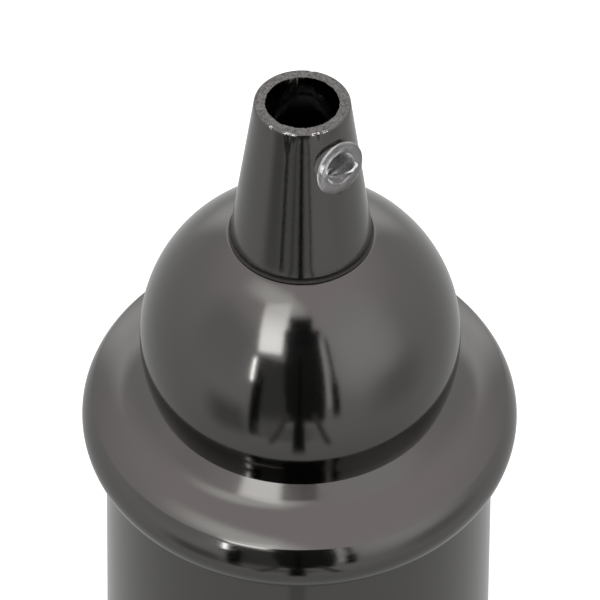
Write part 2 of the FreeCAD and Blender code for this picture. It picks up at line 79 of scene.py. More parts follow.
def turned(outline, steps=144):
    # a closed outline of (r, z) or (r, z, rounding) in millimetres, turned once round the Z axis
    bm = bmesh.new()
    verts = [bm.verts.new((p[0] * mm, 0, p[1] * mm)) for p in outline]
    bm.faces.new(verts)
    roundings = {}
    for vert, p in zip(verts, outline):
        if len(p) > 2:
            roundings.setdefault(p[2], []).append(vert)
    for radius, corners in roundings.items():
        bmesh.ops.bevel(bm, geom=corners, offset=radius * mm, segments=4, profile=0.5, affect="VERTICES",
                        material=-1, clamp_overlap=True)
    bmesh.ops.delete(bm, geom=bm.faces[:], context="FACES_ONLY")
    onAxis = [e for e in bm.edges if all(abs(v.co.x) < 1e-9 for v in e.verts)]
    bmesh.ops.delete(bm, geom=onAxis, context="EDGES")
    bmesh.ops.spin(bm, geom=bm.verts[:] + bm.edges[:], cent=(0, 0, 0), axis=(0, 0, 1), angle=2 * math.pi,
                   steps=steps, use_merge=True, use_duplicate=False)
    bmesh.ops.remove_doubles(bm, verts=bm.verts, dist=1e-7)
    bmesh.ops.recalc_face_normals(bm, faces=bm.faces)
    return bm


def pressThread(bm, radius, pitch, depth, low, high, run, rolled=False):
    # a right-hand thread in the wall of that radius, inwards by depth, or outwards if depth is below 0
    for v in bm.verts:
        r = math.hypot(v.co.x, v.co.y) / mm
        z = v.co.z / mm
        if abs(r - radius) > 0.01 or not low < z < high:
            continue
        share = min(1.0, (z - low) / run, (high - z) / run)
        phase = (z / pitch - math.atan2(v.co.y, v.co.x) / (2 * math.pi)) % 1.0
        if rolled:
            profile = 0.5 - 0.5 * math.cos(2 * math.pi * phase)
        else:
            profile = min(1.0, max(0.0, 1.1 - 1.2 * abs(2 * phase - 1)))
        size = (r - depth * share * profile) / r
        v.co.x *= size
        v.co.y *= size


def asObject(name, bm):
    mesh = bpy.data.meshes.new(name)
    bm.to_mesh(mesh)
    bm.free()
    obj = bpy.data.objects.new(name, mesh)
    bpy.context.scene.collection.objects.link(obj)
    return obj


def boolean(bm, tool, operation="DIFFERENCE"):
    # one closed bmesh less another, or what both share
    blank, cutter = asObject("blank", bm), asObject("cutter", tool)
    change = blank.modifiers.new("cut", "BOOLEAN")
    change.operation = operation
    change.solver = "EXACT"
    change.object = cutter
    evaluated = blank.evaluated_get(bpy.context.evaluated_depsgraph_get())
    result = bmesh.new()
    result.from_mesh(evaluated.to_mesh())
    evaluated.to_mesh_clear()
    for obj in (blank, cutter):
        mesh = obj.data
        bpy.data.objects.remove(obj)
        bpy.data.meshes.remove(mesh)
    return result


def join(bm, other):
    # adds a second bmesh to the first
    mesh = bpy.data.meshes.new("joined")
    other.to_mesh(mesh)
    other.free()
    bm.from_mesh(mesh)
    bpy.data.meshes.remove(mesh)


def bar(long, wide, low, high, roundEnds=False):
    # a bar along X between two levels, in millimetres, to cut a slot with
    bm = bmesh.new()
    bmesh.ops.create_cube(bm, size=mm)
    bmesh.ops.scale(bm, vec=(long, wide, high - low), verts=bm.verts)
    bmesh.ops.translate(bm, vec=(0, 0, (low + high) / 2 * mm), verts=bm.verts)
    if roundEnds:
        upright = [e for e in bm.edges if abs(e.verts[0].co.z - e.verts[1].co.z) > 0.1 * mm]
        bmesh.ops.bevel(bm, geom=upright, offset=0.49 * wide * mm, segments=8, profile=0.5, affect="EDGES",
                        material=-1)
    return bm


def softenEdges(bm, width, least=28):
    # breaks every edge sharper than that many degrees
    sharp = [e for e in bm.edges if len(e.link_faces) == 2 and e.calc_face_angle(0) > math.radians(least)]
    bmesh.ops.bevel(bm, geom=sharp, offset=width * mm, segments=2, profile=0.5, affect="EDGES", material=-1,
                    clamp_overlap=True, loop_slide=True)


def standing(point, direction=up, spin=0.0):
    # moves a shape built on +Z: its origin to a point in millimetres, its +Z to a direction
    lean = up.rotation_difference(Vector(direction)).to_matrix().to_4x4()
    return Matrix.Translation(Vector(point) * mm) @ lean @ Matrix.Rotation(math.radians(spin), 4, "Z")


def finished(name, bm, node, *materials, place=None, sharp=32):
    # the bmesh as a piece that stands for a CAD node and moves as it does
    if place:
        bmesh.ops.transform(bm, matrix=place, verts=bm.verts)
    obj = asObject(name, bm)
    obj.data.polygons.foreach_set("use_smooth", [True] * len(obj.data.polygons))
    obj.data.set_sharp_from_angle(angle=math.radians(sharp))
    for material in materials:
        obj.data.materials.append(material)
    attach(obj, bodyOf[node])
    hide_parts(node)
    return obj


def deburred(name, node, material, edge):
    # a copy of a CAD node with its edges broken
    bm = bmesh.new()
    bm.from_mesh(frame["nodes"][node].data)
    bmesh.ops.remove_doubles(bm, verts=bm.verts, dist=1e-6)
    bmesh.ops.dissolve_limit(bm, angle_limit=math.radians(0.5), verts=bm.verts, edges=bm.edges,
                             use_dissolve_boundaries=False)
    softenEdges(bm, edge)
    return finished(name, bm, node, material)


def hexToLinear(code):
    # sRGB hex to linear colour with alpha
    channels = [int(code[i:i + 2], 16) / 255 for i in (0, 2, 4)]
    linear = [c / 12.92 if c <= 0.04045 else ((c + 0.055) / 1.055) ** 2.4 for c in channels]
    return (*linear, 1.0)


def addNode(tree, kind, settings=None, links=None, **inputs):
    # one node with its settings, its values, and its links as {input: another node's output}
    node = tree.nodes.new(kind)
    for name, value in (settings or {}).items():
        setattr(node, name, value)
    for name, value in inputs.items():
        node.inputs[name.replace("_", " ")].default_value = value
    for name, source in (links or {}).items():
        tree.links.new(source, node.inputs[name])
    return node


def newMaterial(name):
    material = bpy.data.materials.new(name)
    material.use_nodes = True
    tree = material.node_tree
    tree.nodes.clear()
    output = tree.nodes.new("ShaderNodeOutputMaterial")
    return material, tree, output


grainStops = (0.3, 0.7)   # the noise between which the roughness spreads
stainAndShadeStops = (0.4, 0.68)  # the noise between which the colour turns into the second colour: a stain, and on the sawn face painted shade in its pits


def makeSurface(name, look):
    # one opaque finish: fine grain and a slow wave in its height, a spread of gloss, and a second colour in
    # patches: a stain, and on the sawn face painted shade in its pits
    material, tree, output = newMaterial(name)
    where = addNode(tree, "ShaderNodeTexCoord").outputs["Object"]
    if "stretch" in look:
        stretched = addNode(tree, "ShaderNodeMapping", links={"Vector": where}, Scale=look["stretch"])
        where = stretched.outputs["Vector"]
    grain = addNode(tree, "ShaderNodeTexNoise", links={"Vector": where},
                    Scale=1 / (look["grain"] * mm), Detail=3.0, Roughness=0.6)
    wave = addNode(tree, "ShaderNodeTexNoise", links={"Vector": where},
                   Scale=1 / (look["wave"] * mm), Detail=2.0)
    waveBump = addNode(tree, "ShaderNodeBump", links={"Height": wave.outputs["Fac"]},
                       Strength=1.0, Distance=look["waveHeight"] * mm)
    bump = addNode(tree, "ShaderNodeBump",
                   links={"Height": grain.outputs["Fac"], "Normal": waveBump.outputs["Normal"]},
                   Strength=1.0, Distance=look["grainHeight"] * mm)
    rough = addNode(tree, "ShaderNodeMapRange", links={"Value": grain.outputs["Fac"]},
                    From_Min=grainStops[0], From_Max=grainStops[1],
                    To_Min=look["roughness"] - look["roughnessSpread"],
                    To_Max=look["roughness"] + look["roughnessSpread"])
    shader = addNode(tree, "ShaderNodeBsdfPrincipled",
                     links={"Roughness": rough.outputs["Result"], "Normal": bump.outputs["Normal"]},
                     Metallic=look.get("metallic", 0.0))
    if not look.get("metallic"):
        shader.inputs["IOR"].default_value = look["ior"]
    if "coat" in look:
        shader.inputs["Coat Weight"].default_value = look["coat"]
        shader.inputs["Coat Roughness"].default_value = look["coatRoughness"]
    if "stainAndShade" in look:
        patches = addNode(tree, "ShaderNodeTexNoise", links={"Vector": where},
                          Scale=1 / (look["stainAndShadeSize"] * mm), Detail=4.0)
        mix = addNode(tree, "ShaderNodeValToRGB", links={"Fac": patches.outputs["Fac"]})
        for element, key, place in zip(mix.color_ramp.elements, ("colour", "stainAndShade"), stainAndShadeStops):
            element.color = hexToLinear(look[key])
            element.position = place
        tree.links.new(mix.outputs["Color"], shader.inputs["Base Color"])
    else:
        shader.inputs["Base Color"].default_value = hexToLinear(look["colour"])
    tree.links.new(shader.outputs["BSDF"], output.inputs["Surface"])
    return material


# black chrome on spun and polished sheet brass: a dark mirror, with the slow unevenness of the spinning
blackChromeSheet = makeSurface("black chrome on polished sheet brass", {
    "metallic": 1.0,
    "colour": "605F5D",
    "roughness": 0.11, "roughnessSpread": 0.02,
    "grain": 0.3, "grainHeight": 0.0005,  # mm
    "wave": 6.0, "waveHeight": 0.0015,    # mm
})

# the same plating on a turned zinc casting, which was polished less: the mirror has a fine orange peel
blackChromeCast = makeSurface("black chrome on turned zinc casting", {
    "metallic": 1.0,
    "colour": "605F5D",
    "roughness": 0.12, "roughnessSpread": 0.04,
    "grain": 0.2, "grainHeight": 0.0055,
    "wave": 2.5, "waveHeight": 0.004,
})

# the same plating on a face left as the saw cut it: matt and grainy, with pits whose darkness is painted
# shade, darker colour patches where no hollow is cut
blackChromeSawn = makeSurface("black chrome on sawn zinc", {
    "metallic": 1.0,
    # painted shade: the darker patches stand for the shade inside the pits
    "colour": "828280", "stainAndShade": "595856", "stainAndShadeSize": 0.28,
    "roughness": 0.72, "roughnessSpread": 0.12,
    "grain": 0.14, "grainHeight": 0.012,
    "wave": 0.7, "waveHeight": 0.015,
})

# zinc alloy where the plating is chipped off: bright and rough
bareZinc = makeSurface("bare zinc alloy, chipped", {
    "metallic": 1.0,
    "colour": "D9D7D2",
    "roughness": 0.35, "roughnessSpread": 0.1,
    "grain": 0.1, "grainHeight": 0.01,
    "wave": 0.6, "waveHeight": 0.01,
})

# zinc-plated steel, clear passivated: pale, faintly blue, satin from the rolled strip under it
zincPlate = makeSurface("zinc plate on rolled steel", {
    "metallic": 1.0,
    "colour": "C9CDD0", "stainAndShade": "B2B3B0", "stainAndShadeSize": 3.0,
    "roughness": 0.34, "roughnessSpread": 0.08,
    "grain": 0.2, "grainHeight": 0.004,
    "wave": 2.0, "waveHeight": 0.004,
})

# spring wire, drawn: greyer, with long drawing marks too fine to show, so only a gentle sheen
springWire = makeSurface("drawn spring steel wire", {
    "metallic": 1.0,
    "colour": "A6A5A1",
    "roughness": 0.28, "roughnessSpread": 0.06,
    "grain": 0.15, "grainHeight": 0.002,
    "wave": 1.5, "waveHeight": 0.002,
})

# sheet brass, pressed and bright dipped: warm yellow, a little brown where it was handled
pressedBrass = makeSurface("pressed sheet brass", {
    "metallic": 1.0,
    "colour": "DFBD70", "stainAndShade": "D3AD60", "stainAndShadeSize": 6.0,
    "roughness": 0.25, "roughnessSpread": 0.07,
    "grain": 0.18, "grainHeight": 0.003,
    "wave": 3.0, "waveHeight": 0.006,
})

# electrical porcelain, pressed dry and glazed: white and wet-looking, with the ripple of a dipped glaze
glazedPorcelain = makeSurface("glazed electrical porcelain", {
    "colour": "E2E0DA", "stainAndShade": "DEDCD5", "stainAndShadeSize": 14.0,
    "ior": 1.54,
    "roughness": 0.3, "roughnessSpread": 0.05,
    "coat": 1.0, "coatRoughness": 0.06,
    "grain": 0.5, "grainHeight": 0.004,
    "wave": 4.0, "waveHeight": 0.03,
})

# vulcanised fibre, black: hard paper, matt, with the fibres just showing
blackFibre = makeSurface("black vulcanised fibre", {
    "colour": "232120", "stainAndShade": "2F2C29", "stainAndShadeSize": 0.8,
    "ior": 1.5,
    "roughness": 0.62, "roughnessSpread": 0.1,
    "grain": 0.12, "grainHeight": 0.01,
    "wave": 1.0, "waveHeight": 0.01,
    "stretch": (1.0, 1.0, 6.0),
})

# pressed insulating board: reddish brown, layered like card
pressedBoard = makeSurface("pressed insulating board", {
    "colour": "7E4A35", "stainAndShade": "925C44", "stainAndShadeSize": 1.2,
    "ior": 1.5,
    "roughness": 0.7, "roughnessSpread": 0.1,
    "grain": 0.12, "grainHeight": 0.015,
    "wave": 1.2, "waveHeight": 0.012,
    "stretch": (1.0, 1.0, 5.0),
})

# white nylon, moulded: a soft half gloss
mouldedNylon = makeSurface("white moulded nylon", {
    "colour": "E8E8E3",
    "ior": 1.53,
    "roughness": 0.4, "roughnessSpread": 0.06,
    "grain": 0.15, "grainHeight": 0.004,
    "wave": 2.0, "waveHeight": 0.006,
})

# clear nylon, moulded: glassy, with the faint flow ripple of the mould
clearNylonLook = {
    "colour": "E8E9E9",
    "ior": 1.49,
    "roughness": 0.22,
    "flow": 1.6,          # mm
    "flowHeight": 0.012,  # mm
}


def makeClearNylon(look):
    material, tree, output = newMaterial("clear moulded nylon")
    where = addNode(tree, "ShaderNodeTexCoord")
    flow = addNode(tree, "ShaderNodeTexNoise", links={"Vector": where.outputs["Object"]},
                   Scale=1 / (look["flow"] * mm), Detail=2.0)
    bump = addNode(tree, "ShaderNodeBump", links={"Height": flow.outputs["Fac"]},
                   Strength=1.0, Distance=look["flowHeight"] * mm)
    shader = addNode(tree, "ShaderNodeBsdfPrincipled", links={"Normal": bump.outputs["Normal"]},
                     Roughness=look["roughness"], IOR=look["ior"], Transmission_Weight=1.0)
    shader.inputs["Base Color"].default_value = hexToLinear(look["colour"])
    tree.links.new(shader.outputs["BSDF"], output.inputs["Surface"])
    return material


clearNylon = makeClearNylon(clearNylonLook)
print("materials made")

# where things are, in millimetres
gripLow, gripHigh = inMm("cord_grip")
ballLow, ballHigh = inMm("ball_cap")
collarLow, collarHigh = inMm("collar")
cupLow, cupHigh = inMm("cup")
porcelainHigh = inMm("porcelain_body")[1]
shellLow, shellHigh = inMm("screw_shell")
tubeLow, tubeHigh = inMm("threaded_tube")

cordGrip = {
    "topRadius": 5.35,
    "baseChamfer": 0.3,
    "footRounding": 0.12,
    "edge": 0.22,            # rounding of the outer edge round the cord hole
    "holeRadius": 4.075,
    "holeLength": 2.75,
    "holeRounding": 0.15,    # of its lower edge
    "drillRadius": 4.5,
    "threadRadius": 5.0,
    "threadLength": 10.0,
    "threadPitch": 1.0,
    "threadDepth": 0.5,
    "clampGap": 0.05,        # round the clamp screw
    "clampHoleEnd": 2.0,     # past the cone's side
    "sawMarks": 0.02,        # unevenness of the sawn top
    "sawWaves": 2.5,         # per mm
    "ragged": 0.11,          # unevenness of the cord hole's upper edge
    "raggedWaves": [(2.4, 0.8), (9.0, 0.4)],  # per mm, share of each
    "chipWaves": 5.0,        # per mm, in the chips' depth
    "bareWaves": 7.0,        # per mm, in where the plating is off
    # chips in the outer edge: bearing from -Y, half width in degrees, depth
    "chips": [(-55.6, 7.5, 0.13), (-24.0, 5.5, 0.12), (-12.0, 4.0, 0.07), (-81.0, 3.0, 0.07),
              (128.0, 2.5, 0.12)],
}
coneFoot = gripLow.z + cordGrip["baseChamfer"]
coneLean = math.atan2(gripHigh.x - cordGrip["topRadius"], gripHigh.z - coneFoot)

clampScrew = {
    "belowTop": 5.27,
    "threadRadius": 2.0,
    "pitch": 0.7,
    "threadDepth": 0.35,
    "tip": 0.4,
    "length": 4.0,
    "gap": 0.15,
    "headRadius": 3.15,
    "headSide": 0.4,
    "crown": 0.3,
    "faceRadius": 2.55,
    "slot": (4.4, 1.1, 0.45),  # long, wide, deep
    "turn": -17.0,
}
clampAxis = Vector((0, -math.cos(coneLean), math.sin(coneLean)))
clampReach = cordGrip["topRadius"] + clampScrew["belowTop"] * math.tan(coneLean)
clampPoint = Vector((0, -clampReach, gripHigh.z - clampScrew["belowTop"]))


def bearingOf(v):
    return math.degrees(math.atan2(v.co.x, -v.co.y))


def makeCordGrip(look):
    top, base = gripHigh.z, gripLow.z
    hole, edge = look["holeRadius"], look["topRadius"]
    face = [(hole + (edge - hole) * n / 9, top) for n in range(9)]
    side = [(edge + (gripHigh.x - edge) * n / 14, top + (coneFoot - top) * n / 14) for n in range(1, 14)]
    outline = (straight(look["threadRadius"], base, base + look["threadLength"])
               + [(look["drillRadius"], base + look["threadLength"]),
                  (look["drillRadius"], top - look["holeLength"]),
                  (hole, top - look["holeLength"], look["holeRounding"])]
               + face + [(edge, top, look["edge"])] + side
               + [(gripHigh.x, coneFoot, look["footRounding"]), (gripHigh.x - look["baseChamfer"], base)])
    bm = turned(outline, steps=270)
    pressThread(bm, look["threadRadius"], look["threadPitch"], -look["threadDepth"], base - 0.1,
                base + look["threadLength"], look["threadPitch"])
    clampRadius, clampEnd = clampScrew["threadRadius"] + look["clampGap"], look["clampHoleEnd"]
    clampHole = turned([(0, -clampReach), (clampRadius, -clampReach), (clampRadius, clampEnd),
                        (0, clampEnd)], steps=48)
    bmesh.ops.transform(clampHole, matrix=standing(clampPoint, clampAxis), verts=clampHole.verts)
    bm = boolean(bm, clampHole)
    # the sawn face, the ragged hole and the chips
    for v in bm.verts:
        r, z = math.hypot(v.co.x, v.co.y) / mm, v.co.z / mm
        where = v.co / mm
        if z > top - 0.001 and r < edge - 0.2:
            v.co.z += (noise.noise(where * look["sawWaves"]) - 0.5) * look["sawMarks"] * mm
        if z > top - 0.1 and r < hole + 0.02:
            uneven = sum(share * noise.noise(where * waves) for waves, share in look["raggedWaves"])
            away = look["ragged"] * (0.3 + uneven)
            v.co.x *= 1 + away / r
            v.co.y *= 1 + away / r
            v.co.z -= 0.4 * abs(away) * mm
        if z > top - look["edge"] - 0.02 and r > edge - look["edge"] - 0.02:
            for bearing, half, deep in look["chips"]:
                off = (bearingOf(v) - bearing) / half
                if abs(off) < 1:
                    bite = deep * (1 - off * off) * (0.6 + 0.5 * noise.noise(where * look["chipWaves"]))
                    v.co.x *= 1 - bite / r
                    v.co.y *= 1 - bite / r
                    v.co.z -= 0.5 * bite * mm
    for f in bm.faces:
        centre = f.calc_center_median()
        r, z = math.hypot(centre.x, centre.y) / mm, centre.z / mm
        bearing = math.degrees(math.atan2(centre.x, -centre.y))
        chipped = any(abs(bearing - chip[0]) < chip[1] * 0.85 for chip in look["chips"])
        atEdge = z > top - look["edge"] - 0.05 and r > edge - look["edge"] - 0.08
        if atEdge and chipped and noise.noise(centre / mm * look["bareWaves"]) > 0.05:
            f.material_index = 2
        elif z > top - 0.09 and hole - 0.02 < r < edge - look["edge"] + 0.01 and f.normal.z > 0.3:
            f.material_index = 1
    finished("cordGripTurned", bm, "cord_grip", blackChromeCast, blackChromeSawn, bareZinc)


def makeClampScrew(look):
    low = look["gap"]
    side = low + look["headSide"]
    face = side + look["crown"]
    tip = low - look["length"]
    outline = ([(0, tip), (look["threadRadius"] - look["tip"], tip)]
               + straight(look["threadRadius"], tip + look["tip"], low - 0.1, step=0.07)
               + [(look["threadRadius"], low), (look["headRadius"], low, 0.1),
                  (look["headRadius"], side, 0.15), (look["faceRadius"], face, 0.2), (0, face)])
    bm = turned(outline, steps=96)
    pressThread(bm, look["threadRadius"], look["pitch"], look["threadDepth"], tip + look["tip"] - 0.01,
                low, 0.5)
    long, wide, deep = look["slot"]
    bm = boolean(bm, bar(long, wide, face - deep, face + 1, roundEnds=True))
    finished("clampScrewClear", bm, "clamp_screw", clearNylon,
             place=standing(clampPoint, clampAxis, look["turn"]))


makeCordGrip(cordGrip)
makeClampScrew(clampScrew)
print("cord grip made")

ballCap = {
    "cut": 6.42,          # from its centre down to its rim
    "wall": 1.0,
    "landRadius": 8.45,
    "holeRadius": 5.15,
    "rounding": 0.15,
    "rimRounding": 0.04,
}
ballRadius = ballHigh.x
ballLevel = ballLow.z + ballCap["cut"]


def makeBallCap(look):
    inside = ballRadius - look["wall"]
    ceiling = ballHigh.z - look["wall"]
    outer = arc(0, ballLevel, ballRadius, -math.degrees(math.asin(look["cut"] / ballRadius)),
                math.degrees(math.acos(look["landRadius"] / ballRadius)), 80)
    inner = arc(0, ballLevel, inside, math.degrees(math.asin((ceiling - ballLevel) / inside)),
                -math.degrees(math.asin(look["cut"] / inside)), 48)
    soft, rim = look["rounding"], look["rimRounding"]
    outline = ([(*outer[0], rim)] + outer[1:-1] + [(*outer[-1], soft)]
               + [(look["holeRadius"], ballHigh.z, soft), (look["holeRadius"], ceiling, soft)]
               + inner[:-1] + [(*inner[-1], rim)])
    finished("ballCapSpun", turned(outline, steps=256), "ball_cap", blackChromeSheet)


collar = {
    "wall": 1.0,
    "beadRadius": 4.84,
    "beadDrop": 2.1,       # the rolled edge's centre below the cup's top
    "crest": 44.0,         # where the slope meets the rolled edge, above the horizontal
    "seatSlope": 36.0,     # beside the ball, below the horizontal
    "dishSlope": 17.0,     # beside the rolled edge
    "blend": 8.0,          # radius between the two slopes
    "lip": 0.8,            # stands up inside the ball's rim
    "lipRadius": 16.676,
    "holeRadius": 5.15,
    "rounding": 0.12,
    "tipRounding": 0.05,   # at the end of the rolled edge
}


def makeCollar(look):
    wall, bead, blend = look["wall"], look["beadRadius"], look["blend"]
    inside = bead - wall
    centre, level = collarHigh.x - bead, cupHigh.z - look["beadDrop"]
    seat, rim = ballLow.z, math.sqrt(ballRadius ** 2 - ballCap["cut"] ** 2)
    crest, steep, gentle = (math.radians(look[angle]) for angle in ("crest", "seatSlope", "dishSlope"))
    # the blend's centre lies one radius above both slopes
    seatR, seatZ = rim + blend * math.sin(steep), seat + blend * math.cos(steep)
    edgeR = centre + bead * math.cos(crest) + blend * math.sin(gentle)
    edgeZ = level + bead * math.sin(crest) + blend * math.cos(gentle)
    run = (seatZ - edgeZ - (edgeR - seatR) * math.tan(gentle)) / (math.tan(steep) - math.tan(gentle))
    blendR, blendZ = seatR + run, seatZ - run * math.tan(steep)
    first, last = 270 - look["seatSlope"], 270 - look["dishSlope"]
    above = arc(blendR, blendZ, blend, last, first, 14)
    below = arc(blendR, blendZ, blend + wall, first, last, 14)
    # under the gentle slope, down to where it meets the rolled edge's inner side
    underR, underZ = below[-1]
    across = (underR - centre) * math.cos(gentle) - (underZ - level) * math.sin(gentle)
    reach = -across + math.sqrt(across ** 2 - (underR - centre) ** 2 - (underZ - level) ** 2 + inside ** 2)
    meetR, meetZ = underR + reach * math.cos(gentle), underZ - reach * math.sin(gentle)
    meet = math.degrees(math.atan2(meetZ - level, meetR - centre))
    end = math.degrees(math.asin((level - collarLow.z) / bead))
    lipEnd = math.degrees(math.acos(min(1.0, bead * math.cos(math.radians(end)) / inside)))
    inner = arc(centre, level, inside, meet, -lipEnd, 30)
    outer = arc(centre, level, bead, -end, look["crest"], 56)
    shoulder = rim - wall * math.tan(steep / 2)
    soft, tip, lip = look["rounding"], look["tipRounding"], look["lipRadius"]
    hole, plate, lipTop = look["holeRadius"], cupHigh.z, seat + look["lip"]
    outline = ([(hole, plate, soft), (lip, plate), (lip, seat - wall), (shoulder, seat - wall)]
               + below + inner[:-1] + [(*inner[-1], tip), (*outer[0], tip)] + outer[1:] + above
               + [(rim, seat), (lip, seat), (lip, lipTop, soft), (lip - wall, lipTop, soft),
                  (lip - wall, plate + wall), (hole, plate + wall, soft)])
    finished("collarSpun", turned(outline, steps=288), "collar", blackChromeSheet)


cup = {
    "flare": 2.05,         # wider at the rim than at the top
    "wall": 1.0,
    "corner": 2.0,
    "holeRadius": 5.15,
    "holeRounding": 0.12,
    "rim": 0.3,            # rounding of the open rim
}


def makeCup(look):
    top, rim = cupHigh.z, cupHigh.x
    lean = math.atan2(look["flare"], top)
    across = look["wall"] / math.cos(lean)
    cornerR = rim - look["flare"] + look["corner"] * (math.tan(lean) - 1 / math.cos(lean))
    cornerZ = top - look["corner"]
    outer = arc(cornerR, cornerZ, look["corner"], math.degrees(lean), 90, 12)
    inner = arc(cornerR, cornerZ, look["corner"] - look["wall"], 90, math.degrees(lean), 8)
    wallLevels = 10
    outside = [(rim + (outer[0][0] - rim) * n / wallLevels, outer[0][1] * n / wallLevels)
               for n in range(1, wallLevels)]
    outline = ([(rim - across, 0, look["rim"]), (rim, 0, look["rim"])] + outside + outer
               + [(look["holeRadius"], top, look["holeRounding"]),
                  (look["holeRadius"], top - look["wall"], look["holeRounding"])] + inner)
    finished("cupDrawn", turned(outline, steps=288), "cup", blackChromeSheet)


makeBallCap(ballCap)
makeCollar(collar)
makeCup(cup)
print("cover made")

porcelain = {
    "floor": 31.0,         # ceiling of the lamp's space
    "pocketRadius": 14.0,
    "mouthRadius": 17.275,
    "mouthDepth": 8.0,
    "springRadius": 5.5,
    "springDepth": 7.0,
    "edge": 1.2,
    "step": 0.6,           # rounding of the step in its mouth
    "pocketCorner": 0.5,
    "springCorner": 0.4,
    "inside": 0.3,         # rounding of the other inner edges
}


def makePorcelain(look):
    outer, top = porcelainHigh.x, porcelainHigh.z
    ceiling = look["floor"] + look["springDepth"]
    spring, pocket, mouth = look["springRadius"], look["pocketRadius"], look["mouthRadius"]
    outline = [(0, top), (0, ceiling), (spring, ceiling, look["springCorner"]),
               (spring, look["floor"], look["inside"]), (pocket, look["floor"], look["pocketCorner"]),
               (pocket, look["mouthDepth"], look["inside"]), (mouth, look["mouthDepth"], look["step"]),
               (mouth, 0, look["edge"]), (outer, 0, look["edge"]), (outer, top, look["edge"])]
    finished("porcelainGlazed", turned(outline, steps=192), "porcelain_body", glazedPorcelain)


screwShell = {
    "sheet": 0.4,
    "radius": 13.3,        # inside, at the thread's root
    "depth": 1.05,         # root to crest of the rolled thread
    "pitch": 3.629,
    "corner": 2.5,
    "holeRadius": 6.4,
    "plainEnd": 1.2,       # no thread at its open end
    "plainTop": 0.3,       # nor just below its corner
    "runOut": 2.0,
}


def makeScrewShell(look):
    sheet, inside = look["sheet"], look["radius"]
    outside, top = inside + sheet, shellHigh.z
    cornerR, cornerZ = outside - look["corner"], top - look["corner"]
    outline = (straight(inside, shellLow.z, cornerZ, step=0.2)
               + arc(cornerR, cornerZ, look["corner"] - sheet, 0, 90, 8)[1:]
               + [(look["holeRadius"], top - sheet, 0.1), (look["holeRadius"], top, 0.1)]
               + arc(cornerR, cornerZ, look["corner"], 90, 0, 8)[:-1]
               + straight(outside, cornerZ, shellLow.z, step=0.2))
    bm = turned(outline, steps=180)
    for radius in (inside, outside):
        pressThread(bm, radius, look["pitch"], look["depth"], shellLow.z + look["plainEnd"],
                    cornerZ - look["plainTop"], look["runOut"], rolled=True)
    finished("screwShellRolled", bm, "screw_shell", pressedBrass, sharp=45)


def makeRing(name, node, material, hole, soft, steps=144):
    # a plain ring or disc with a hole, its edges rounded
    low, high = inMm(node)
    outline = [(hole, low.z, soft), (high.x, low.z, soft), (high.x, high.z, soft), (hole, high.z, soft)]
    finished(name, turned(outline, steps=steps), node, material)


centreContact = {
    "noseRadius": 4.2,
    "dome": 1.0,
    "domeRounding": 0.3,
    "flange": 1.2,
    "flangeRounding": 0.2,
    "neckRounding": 0.15,
}


def makeCentreContact(look):
    low, high = inMm("centre_contact")
    nose, dome = look["noseRadius"], look["dome"]
    domeRadius = (nose ** 2 + dome ** 2) / (2 * dome)
    spread = math.degrees(math.asin(nose / domeRadius))
    domed = arc(0, low.z + domeRadius, domeRadius, -90, -90 + spread, 12)
    under, soft = high.z - look["flange"], look["flangeRounding"]
    outline = (domed[:-1] + [(*domed[-1], look["domeRounding"]), (nose, under, look["neckRounding"]),
               (high.x, under, soft), (high.x, high.z, soft), (0, high.z)])
    finished("centreContactDomed", turned(outline, steps=96), "centre_contact", pressedBrass)


contactSpring = {
    "wireRadius": 0.3,
    "turns": 3.5,
    "stepsPerTurn": 48,
    "travel": 1.8,
}


def makeContactSpring(look):
    low, high = inMm("contact_spring")
    wire = look["wireRadius"]
    coil = high.x - wire
    rise = high.z - low.z - 2 * wire
    steps = round(look["turns"] * look["stepsPerTurn"])
    bm = bmesh.new()
    bmesh.ops.create_circle(bm, cap_ends=True, segments=12, radius=wire * mm)
    bmesh.ops.rotate(bm, cent=(0, 0, 0), matrix=Matrix.Rotation(math.radians(90), 3, "X"), verts=bm.verts)
    bmesh.ops.translate(bm, vec=(coil * mm, 0, (low.z + wire) * mm), verts=bm.verts)
    bmesh.ops.spin(bm, geom=bm.verts[:] + bm.edges[:] + bm.faces[:], cent=(0, 0, 0), axis=(0, 0, 1),
                   dvec=(0, 0, rise / steps * mm), angle=2 * math.pi * look["turns"], steps=steps,
                   use_merge=False, use_duplicate=False)
    bmesh.ops.recalc_face_normals(bm, faces=bm.faces)
    spring = finished("contactSpringCoiled", bm, "contact_spring", springWire)
    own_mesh(spring)


rivets = {
    "shank": 1.2,
    "head": 2.0,
    "tall": 0.8,
    "dome": 0.55,
    "strip": 0.6,          # under one head of the shell's rivets
}


def rivet(look, low, high):
    # shank with a domed head at each end
    shank, head, tall, dome = look["shank"], look["head"], look["tall"], look["dome"]
    return turned([(0, low), (head, low, dome), (head, low + tall), (shank, low + tall),
                   (shank, high - tall), (head, high - tall), (head, high, dome), (0, high)], steps=40)


def makeRivets(look):
    low, high = inMm("centre_rivet")
    finished("centreRivetSet", rivet(look, low.z, high.z), "centre_rivet", pressedBrass)
    low, high = inMm("shell_rivets")
    head = look["head"]
    bm = rivet(look, low.z, high.z)
    bmesh.ops.translate(bm, vec=Vector((high.x - head, high.y - head, 0)) * mm, verts=bm.verts)
    other = rivet(look, low.z, high.z - look["strip"])
    bmesh.ops.translate(other, vec=Vector((low.x + head, low.y + head, 0)) * mm, verts=other.verts)
    join(bm, other)
    finished("shellRivetsSet", bm, "shell_rivets", pressedBrass)


springSeat = {
    "holeRadius": 1.25,
    "holeRounding": 0.1,
    "rounding": 0.15,
}


def makeSpringSeat(look):
    low, high = inMm("spring_seat")
    hole, inner, outer = look["holeRadius"], look["holeRounding"], look["rounding"]
    outline = [(hole, low.z, inner), (high.x, low.z, outer), (high.x, high.z, outer), (hole, high.z, inner)]
    finished("springSeatPressed", turned(outline, steps=72), "spring_seat", pressedBrass)


